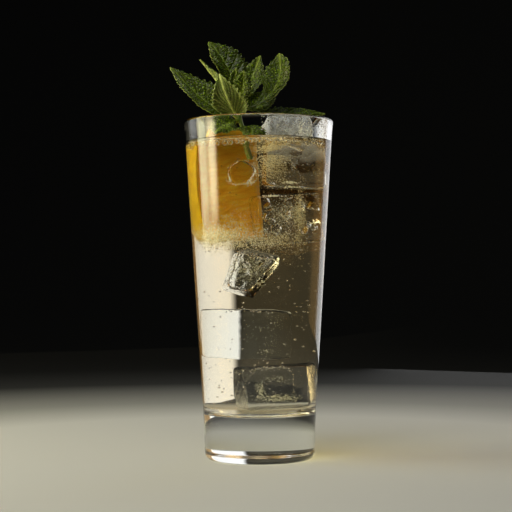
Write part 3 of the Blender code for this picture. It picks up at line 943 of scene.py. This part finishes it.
def makeCitrus():
    c = citrusSet
    deselectAll()
    bpy.ops.mesh.primitive_cylinder_add(vertices=160, radius=c["radius"] * mm, depth=c["length"] * mm)
    thing = bpy.context.object
    start, end = radians(c["from"]), radians(c["to"])
    middle = (start + end) / 2
    out = Vector((cos(middle), sin(middle), 0))
    editAll(thing)
    sliceOff((0, 0, 0), (sin(start), -cos(start), 0))
    sliceOff((0, 0, 0), (-sin(end), cos(end), 0))
    sliceOff(out * c["core"] * cos((end - start) / 2) * mm, -out)
    leaveEdit()
    applyModifier(thing, "BEVEL", width=c["round"] * mm, segments=4, limit_method="ANGLE",
                  angle_limit=radians(40))
    applyModifier(thing, "REMESH", mode="VOXEL", voxel_size=c["grain"] * mm)
    applyModifier(thing, "SMOOTH", factor=0.5, iterations=2)
    half = c["length"] / 2
    layers, cells = [], []

    def fleshAt(place, normal):
        spot = place / mm
        radius = hypot(spot.x, spot.y)
        turn = degrees(atan2(spot.y, spot.x)) % 360
        depth = c["radius"] - radius  # under the rind
        rind = 1 - smoothStep(c["rindDepth"] - c["rindBlend"], c["rindDepth"] + c["rindBlend"], depth)
        pith = (1 - smoothStep(c["pithDepth"], c["pithDepth"] + c["pithBlend"], depth)) * (1 - rind)
        onEnd = smoothStep(*c["endFacing"], abs(normal.z))
        wall = max(1 - smoothStep(0.0, c["membraneWidth"], abs(turn - angle) * pi / 180 * radius)
                   for angle in c["membranes"])
        coreSkin = 1 - smoothStep(*c["coreSkin"], radius)
        membrane = max(wall, coreSkin * 0.8) * onEnd
        layers.extend((rind, pith, membrane, 1))
        wander = noise.noise(spot / c["wanderSize"]) * c["wander"]
        outward = radius / c["cellLong"] + wander * 0.3
        if onEnd > 0.5:
            cell = Vector((outward, radians(turn) * radius / c["cellWide"], 7.0))
        else:
            cell = Vector((outward, (spot.z + radius * 0.25 + wander) / c["cellWide"], normal.x * 2.0))
        cells.extend(cell)
        near = noise.voronoi(cell)[0]
        if rind > 0.5:
            pores = noise.voronoi(spot / c["poreSize"])[0]
            push = -c["poreDepth"] * (1 - smoothStep(0.1, 0.55, pores[0]))
        else:
            ridge = smoothStep(0.0, 0.35, near[1] - near[0]) - 0.6
            push = c["pulpDepth"] * ridge * (1 - pith) * (1 - membrane)
        shaped = place + normal * push * mm
        narrow = 1 - c["endTaper"] * (spot.z / half) ** 2  # the fruit narrows to its ends
        return Vector((shaped.x * narrow, shaped.y * narrow, shaped.z))

    reshape(thing, fleshAt)
    thing.data.attributes.new("layers", "FLOAT_COLOR", "POINT").data.foreach_set("color", layers)
    thing.data.attributes.new("cellMap", "FLOAT_VECTOR", "POINT").data.foreach_set("vector", cells)
    lean = Matrix.Rotation(radians(c["lean"]), 4, Vector((-sin(middle), cos(middle), 0)))
    thing.data.transform(Matrix.Translation(Vector(c["centre"]) * mm) @ lean)
    thing.data.update()
    shadeSmooth(thing, 70)
    addPiece(thing, "CitrusWedge", citrusFlesh(), "citrus_wedge")
    report("citrus done")


# Mint

mintSet = {
    "stemRoute": ((-3.0, -3.5, 141.5), (-6.6, -4.0, 154.5), (-9.6, -4.4, 162.5), (-9.6, -3.8, 172.5)),
    "stemWidth": 2.4, "stemTaper": 0.25, "stemSteps": 40, "squareness": 1.4,
    "nodeSwell": 0.10, "nodeHeight": 160, "nodeLength": 1.5,  # the stem swells where two leaves grow
    "stalkShare": 0.1, "stalkWidth": 0.6, "stalkDepth": 0.35,
    "thickness": 1.0, "bladeShare": 0.4,  # at the midrib, and how much of that the blade has
    "rows": 156, "columns": 66,
    "veinPairs": 6.5, "veinSlant": 0.30, "steep": {"mint_leaf_front": 0.85},  # nearer to the midrib's way
    "veinWidth": 0.16, "ribWidth": 0.42, "puff": 0.045, "groove": 0.26, "quilt": 0.46, "quiltSize": 1.35,
    "teeth": 13, "toothDepth": 0.085, "toothForward": 0.35, "toothBack": 0.22,
    "toothSide": (0.72, 1.0), "toothStart": (0.0, 0.1), "toothEnd": (1.0, 0.93),
    "wave": 0.4, "waves": 19, "waveShift": 1.7, "roll": 1.7,  # the margins roll back
    "foldRound": 0.7,  # the fold is rounded at the midrib
}
mintLeaves = {  # stalk height, tip, bow of the midrib, way it faces, half width, fold, curl, widest
    "mint_leaf_left": (160.0, (-41.8, 2.0, 186.4), (1.7, -1, -8), (0.48, -0.79, 0.39), 10.6, 36, 0.05, 0.42),
    "mint_leaf_top": (171.0, (-23.5, 4.0, 198.8), (5, 2, 0), (0.53, -0.79, 0.31), 11.0, 36, -0.05, 0.50),
    "mint_leaf_front": (161.6, (-17.6, -20.0, 179.8), (0, -8, -5), (0.1, 0.5, 0.85), 9.0, 20, -0.25, 0.38),
    "mint_leaf_centre": (168.0, (-6.9, -14.0, 182.2), (2, -4, 0), (-0.35, -0.9, 0.2), 5.6, 26, -0.15, 0.42),
    "mint_leaf_right": (164.6, (9.8, 4.0, 193.0), (14.4, 0, -7), (-0.53, -0.82, 0.2), 9.2, 34, 0.05, 0.66),
    "mint_leaf_far": (162.2, (32.2, 8.0, 164.6), (2, 2, 1), (0.0, -0.42, 0.91), 7.6, 25, -0.10, 0.45),
    "mint_leaf_thin": (168.2, (-27.8, 11.0, 191.5), (2, 6, -2), (0.77, 0.0, 0.64), 6.0, 26, 0.05, 0.40),
    "mint_leaf_rear": (168.6, (1.0, 16.5, 194.0), (0, 12, -3), (-0.3, -0.85, 0.4), 7.8, 24, 0.05, 0.44),
    "mint_leaf_young": (172.0, (-10.5, -10.0, 184.2), (-1, -3, 0), (-0.2, -0.9, 0.3), 3.2, 24, 0.0, 0.40),
    "mint_leaf_side": (166.4, (6.0, 12.0, 178.8), (5, 5, -6), (-0.3, -0.9, 0.3), 6.8, 22, 0.05, 0.45),
    "mint_leaf_low_left":
        (159.4, (-20.0, -15.0, 152.8), (-3, -2, 2), (-0.35, -0.75, 0.55), 7.2, 18, -0.2, 0.45),
    "mint_leaf_low_right":
        (157.0, (-3.6, -17.2, 151.2), (4, -2, 2.6), (0.25, -0.8, 0.5), 7.2, 18, -0.2, 0.50),
}


def routePoint(points, share):  # a smooth curve through the points
    place = share * (len(points) - 1)
    first = min(int(place), len(points) - 2)
    along = place - first
    before = points[max(first - 1, 0)]
    here, there = points[first], points[first + 1]
    after = points[min(first + 2, len(points) - 1)]
    bend = (2 * before - 5 * here + 4 * there - after) * along ** 2
    bend += (3 * here - before - 3 * there + after) * along ** 3
    return (2 * here + (there - before) * along + bend) / 2


def stemAt(share):  # the middle of the stem and half its width
    m = mintSet
    route = [Vector(point) * mm for point in m["stemRoute"]]
    return routePoint(route, share), m["stemWidth"] / 2 * (1 - m["stemTaper"] * share) * mm


def stemRoot(height, towards):  # where a leaf's stalk grows out of the stem
    rings = [stemAt(step / 60) for step in range(61)]
    middle, half = min(rings, key=lambda ring: abs(ring[0].z - height * mm))
    out = Vector((towards.x - middle.x, towards.y - middle.y, 0)).normalized()
    return middle + out * (half - mintSet["stalkDepth"] * mm)


def alongBlade(share):  # from 0 at the end of the stalk to 1 at the tip
    return (share - mintSet["stalkShare"]) / (1 - mintSet["stalkShare"])


def bladeWidth(share, halfWidth, widest):
    m = mintSet
    if share <= m["stalkShare"]:
        return m["stalkWidth"]
    along = alongBlade(share)
    swell = sin(pi * along ** (log(0.5) / log(widest))) ** 0.85
    tail = m["stalkWidth"] * (1 - along) + 0.12 * along
    return max(halfWidth * swell, tail)


def veinField(share, across, halfWidth, slant, seed):  # how far it stands up, veins with a painted margin highlight, and quilting as painted shade and light
    m = mintSet
    side = 1 if across >= 0 else -1
    reach = abs(across)
    along = alongBlade(share)
    if along <= 0:
        return 0.0, 0.7, 0.5
    phase = m["veinPairs"] * (along ** 0.9 - slant * (reach - 0.22 * reach * reach)) + 0.12 * side
    gap = abs(phase - round(phase)) * 2  # 0 on a side vein, 1 halfway between two
    sideVein = exp(-(gap / m["veinWidth"]) ** 2) * (1 - smoothStep(0.82, 1.0, reach))
    rib = exp(-(reach * halfWidth * sin(pi * min(along, 0.999) ** 0.7) / m["ribWidth"]) ** 2)
    dome = sin(pi / 2 * gap) ** 0.8 * (1 - reach ** 3) * smoothStep(0.0, 0.14, along)
    spot = Vector((reach * halfWidth / m["quiltSize"] * side, along * 3.4 * halfWidth / m["quiltSize"], seed))
    near = noise.voronoi(spot)[0]
    cell = smoothStep(0.02, 0.42, near[1] - near[0])
    height = m["puff"] * halfWidth * dome + m["quilt"] * (cell - 0.5) * (1 - rib) * (1 - 0.5 * sideVein)
    height -= m["groove"] * max(sideVein * 0.8, rib)
    # The margin term paints a pale highlight along the leaf's edge, where side light catches it
    veinsAndMarginHighlight = max(rib, sideVein * 0.7, (1 - cell) * 0.25, smoothStep(0.9, 1.0, reach) * 0.6)
    # The third value is lighter on raised cells and on the domes between veins and darker in the creases:
    # painted light and shade
    return height, veinsAndMarginHighlight, cell * (0.45 + 0.55 * dome)


def growLeaf(name, seed):
    m = mintSet
    height, tip, bow, face, halfWidth, fold, curl, widest = mintLeaves[name]
    tip, bow, fold = Vector(tip) * mm, Vector(bow) * mm, radians(fold)
    root = stemRoot(height, tip + bow * 2)
    control = (root + tip) / 2 + bow
    slant = m["steep"].get(name, m["veinSlant"])
    deselectAll()
    bpy.ops.mesh.primitive_grid_add(x_subdivisions=m["columns"], y_subdivisions=m["rows"], size=2)
    leaf = bpy.context.object
    colours, ribs = [], []
    for vertex in leaf.data.vertices:
        across, share = vertex.co.x, (vertex.co.y + 1) / 2
        along = max(alongBlade(share), 0)
        tooth = (along * m["teeth"] + 0.15 * sin(seed + across)) % 1.0
        bite = min(tooth / (1 - m["toothBack"]), (1 - tooth) / m["toothBack"]) - 0.5
        margin = smoothStep(*m["toothSide"], abs(across)) * smoothStep(*m["toothStart"], along)
        margin *= smoothStep(*m["toothEnd"], along)
        width = bladeWidth(share, halfWidth, widest)
        reach = abs(across) * width * (1 + m["toothDepth"] * bite * 2 * margin)
        lift, veinsAndMarginHighlight, quilt = veinField(share, across, halfWidth, slant, seed)
        fade = min(width / halfWidth * 1.6, 1.0)
        middle = root * (1 - share) ** 2 + control * 2 * share * (1 - share) + tip * share ** 2
        forward = ((control - root) * (1 - share) + (tip - control) * share).normalized()
        side = forward.cross(Vector(face)).normalized()
        up = side.cross(forward).normalized()
        soft = sqrt(reach ** 2 + m["foldRound"] ** 2) - m["foldRound"]
        rise = soft * sin(fold) + curl * width * across ** 2 + lift * fade
        rise -= m["roll"] * smoothStep(0.6, 1.05, abs(across)) * fade * halfWidth / 10
        wave = sin(share * m["waves"] + seed * 2 + (m["waveShift"] if across > 0 else 0))
        rise += m["wave"] * abs(across) ** 3 * wave * fade
        flat = copysign(reach * cos(fold), across)
        vertex.co = middle + side * flat * mm + up * rise * mm
        vertex.co += forward * m["toothForward"] * margin * bite * mm
        colours.append((veinsAndMarginHighlight, 0, quilt, 1))
        ribs.append(exp(-(reach / m["foldRound"]) ** 2) * (1 - 0.6 * share))
    count = len(colours)
    leaf.data.update()
    if leaf.data.polygons[count // 2].normal.dot(Vector(face)) < 0:
        leaf.data.flip_normals()
    thick = leaf.vertex_groups.new(name="thick")
    for index, rib in enumerate(ribs):
        thick.add([index], m["bladeShare"] + (1 - m["bladeShare"]) * rib, "REPLACE")
    leafMap = leaf.data.attributes.new("leafMap", "FLOAT_COLOR", "POINT")
    leafMap.data.foreach_set("color", [value for colour in colours for value in colour])
    applyModifier(leaf, "SOLIDIFY", thickness=m["thickness"] * mm, offset=-1, vertex_group="thick",
                  use_even_offset=False)
    leafMap = leaf.data.attributes["leafMap"]
    for index in range(count, len(leaf.data.vertices)):  # the underside
        red, _, blue, _ = leafMap.data[index].color
        leafMap.data[index].color = (red, 1, blue, 1)
    shadeSmooth(leaf)
    return leaf


def makeStem():
    m = mintSet
    deselectAll()
    middle, half = stemAt(0)
    bpy.ops.mesh.primitive_circle_add(vertices=16, radius=1, fill_type="NGON", location=(0, 0, 0))
    stem = bpy.context.object
    power = m["squareness"]
    for vertex in stem.data.vertices:  # a square with round corners
        turn = atan2(vertex.co.y, vertex.co.x)
        square = 1 / (abs(cos(turn)) ** power + abs(sin(turn)) ** power) ** (1 / power)
        vertex.co = middle + vertex.co * half * square
    editAll(stem)
    for step in range(1, m["stemSteps"] + 1):
        there, wide = stemAt(step / m["stemSteps"])
        bpy.ops.mesh.extrude_region_move(TRANSFORM_OT_translate={"value": there - middle})
        swell = 1 + m["nodeSwell"] * exp(-((there.z / mm - m["nodeHeight"]) / m["nodeLength"]) ** 2)
        bpy.ops.transform.resize(value=[wide * swell / half] * 2 + [1], center_override=there)
        middle, half = there, wide * swell
    leaveEdit()
    fixNormals(stem)
    shadeSmooth(stem)
    addPiece(stem, "MintStem", mintStalk(), "mint_stem")


def makeMint():
    makeStem()
    blade = mintBlade()
    for seed, node in enumerate(mintLeaves, 1):
        words = "".join(word.title() for word in node.split("_"))
        addPiece(growLeaf(node, seed), words, blade, node)
    report("mint done")


# Studio: a round sweep of paper, pale on the floor round the glass and painted darker away from it and up the
# wall as painted shade, with soft lamps round the glass

studioSet = {
    "floorRadius": 1.0, "sweep": 0.8, "wallTop": 2.6, "world": 0.18,
    "underFoot": 0.1,  # mm of air under the foot
    "paper": [(0.0, "#D2D3D1"), (0.22, "#9A9B98"), (0.6, "#363737"), (1.0, "#1C1D1D")],
    "paleRadius": 0.20, "fade": 0.44,  # the floor is pale round the glass and its colour darkens towards the wall: painted shade, as of light falling off
}
lampSet = {  # place, size, height that it faces, radiance, how much of each side fades, and colour
    "left strip": ((-0.594, 0.084, 0.36), (0.22, 0.62), 0.36, 5.2, (0.10, 0.10), "#F4F1C8"),
    "warm strip": ((-0.588, -0.118, 0.36), (0.25, 0.62), 0.36, 7.7, (0.35, 0.10), "#FFEFC0"),
    "back panel": ((0.2955, 0.522, 0.20), (0.47, 0.62), 0.20, 1.12, (0.10, 0.10), "#FFFFFF"),
    "right fill": ((0.525, 0.29, 0.20), (0.42, 0.60), 0.20, 0.42, (0.25, 0.10), "#FFC878"),
    "back fill": ((-0.428, 0.840, 0.065), (1.53, 0.33), 0.065, 0.05, (0.12, 0.12), "#FFF3CC"),
    "overhead": ((-0.28, -0.44, 0.90), (0.7, 0.7), 0.1, 3.8, (0.30, 0.30), "#FFFFFF"),
}


def softenBorder(light, borders):  # a soft box fades towards its sides
    light.use_nodes = True
    tree = light.node_tree
    where = addNode(tree, "NewGeometry", {})
    part = addNode(tree, "SeparateXYZ", {0: where.outputs["Parametric"]}).outputs
    fades = []
    for across, border in zip((part["X"], part["Y"]), borders):  # both run from 0 to 1
        far = addMath(tree, "ABSOLUTE", addMath(tree, "SUBTRACT", across, 0.5))
        fades.append(addRange(tree, far, 0.5, 0.5 - border))
    setInputs(tree.nodes["Emission"], {"Strength": addMath(tree, "MULTIPLY", *fades)})


def addLamp(name, place, size, facing, radiance, borders, code):
    deselectAll()
    bpy.ops.object.light_add(type="AREA", location=place)
    lamp = bpy.context.object
    lamp.name = name
    lamp.data.shape = "RECTANGLE"
    lamp.data.size, lamp.data.size_y = size
    lamp.data.energy = radiance * pi * size[0] * size[1]
    lamp.data.color = linear(code)[:3]
    softenBorder(lamp.data, borders)
    aim = Vector((0, 0, facing)) - Vector(place)
    lamp.rotation_euler = aim.to_track_quat("-Z", "Y").to_euler()
    lamp.visible_camera = False


def makeStudio():
    s = studioSet
    floor, bend = s["floorRadius"] / mm, s["sweep"] / mm
    line = [(floor * step / 6, 0.0) for step in range(6)]
    line += arcPoints((floor, bend), bend, -90, 0, 24)
    line += [(floor + bend, s["wallTop"] / mm)]
    sweep = spinProfile("paper sweep", line, 96)
    sweep.name = "PaperSweep"
    sweep.location.z = -s["underFoot"] * mm
    material, tree, shader = newMaterial("studio paper with painted shade", Roughness=0.9, Specular_IOR_Level=0.1)
    away = addNode(tree, "VectorMath", {0: objectPlace(tree)}, operation="LENGTH").outputs["Value"]
    # The paper's colour darkens with distance from the glass: painted shade
    share = addRange(tree, away, s["paleRadius"], s["paleRadius"] + s["fade"], kind="LINEAR")
    setInputs(shader, {"Base Color": addRamp(tree, share, s["paper"])})
    sweep.data.materials.append(material)
    world = bpy.data.worlds.new("studio")
    world.use_nodes = True
    setInputs(world.node_tree.nodes["Background"], {"Color": linear("#FFFFFF"), "Strength": s["world"]})
    bpy.context.scene.world = world
    for name, values in lampSet.items():
        addLamp(name, *values)
    report("studio done")


cameraSet = {"distance": 665, "height": 86.9, "side": -1.42, "focal": 98.4, "lookUp": 0.777, "roll": 0.255}


def makeCamera():
    c = cameraSet
    deselectAll()
    bpy.ops.object.camera_add(location=(c["side"] * mm, -c["distance"] * mm, c["height"] * mm))
    camera = bpy.context.object
    camera.rotation_euler = (radians(90 + c["lookUp"]), radians(c["roll"]), 0)
    camera.data.lens = c["focal"]
    camera.data.sensor_width = 36
    camera.data.clip_start = 0.01
    bpy.context.scene.camera = camera


def setLightPaths():  # enough bounces for glass in drink in glass
    cycles = bpy.context.scene.cycles
    cycles.max_bounces = 28
    cycles.transmission_bounces = 28
    cycles.transparent_max_bounces = 28
    cycles.glossy_bounces = 8
    cycles.diffuse_bounces = 4
    cycles.caustics_reflective = False
    cycles.caustics_refractive = True
    bpy.context.scene.view_settings.view_transform = "Standard"


makeCamera()
makeGlass()
iceTrees, iceHollows = makeIce()
makeDrink(iceTrees, iceHollows)
makeFoam()
makeCitrus()
makeMint()
makeStudio()
setLightPaths()
